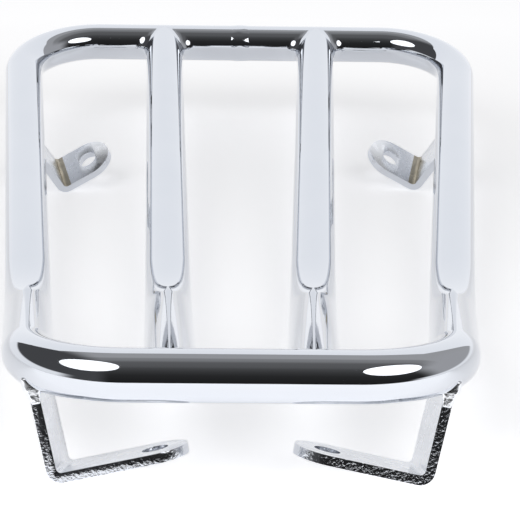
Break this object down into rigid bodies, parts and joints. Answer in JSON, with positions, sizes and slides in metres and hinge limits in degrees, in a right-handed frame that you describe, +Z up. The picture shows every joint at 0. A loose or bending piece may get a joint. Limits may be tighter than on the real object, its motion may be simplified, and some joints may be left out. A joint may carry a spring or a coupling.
{
  "type": "motorcycle luggage rack",
  "caption": "Chromed round-tube luggage rack, tapered in plan with lengthwise middle rails, a kicked-up narrow end and folded flat-bar tabs with bolt holes.",
  "frame": {"origin": "on the table plane the rack stands on, under the middle of its bounding box", "axes": "+Z up from the table, +Y from the narrow kicked-up end towards the wide far bar, +X to the right seen from the narrow end"},
  "size_m": [0.2072, 0.3364, 0.0498],
  "materials": {
    "tube_chrome": "polished",
    "bar_chrome": "polished, with rougher sheared edges",
    "weld_chrome": "lumpy weld under plating"
  },
  "bodies": {
    "root": {"loop_tube": "tube_chrome", "loop_weld": "weld_chrome", "left_rail": "tube_chrome", "right_rail": "tube_chrome", "left_rail_far_weld": "weld_chrome", "left_rail_near_weld": "weld_chrome", "right_rail_far_weld": "weld_chrome", "right_rail_near_weld": "weld_chrome", "far_left_tab": "bar_chrome", "far_left_tab_weld": "weld_chrome", "far_right_tab": "bar_chrome", "far_right_tab_weld": "weld_chrome", "near_left_tab": "bar_chrome", "near_left_tab_weld": "weld_chrome", "near_right_tab": "bar_chrome", "near_right_tab_weld": "weld_chrome"}
  },
  "joints": []
}
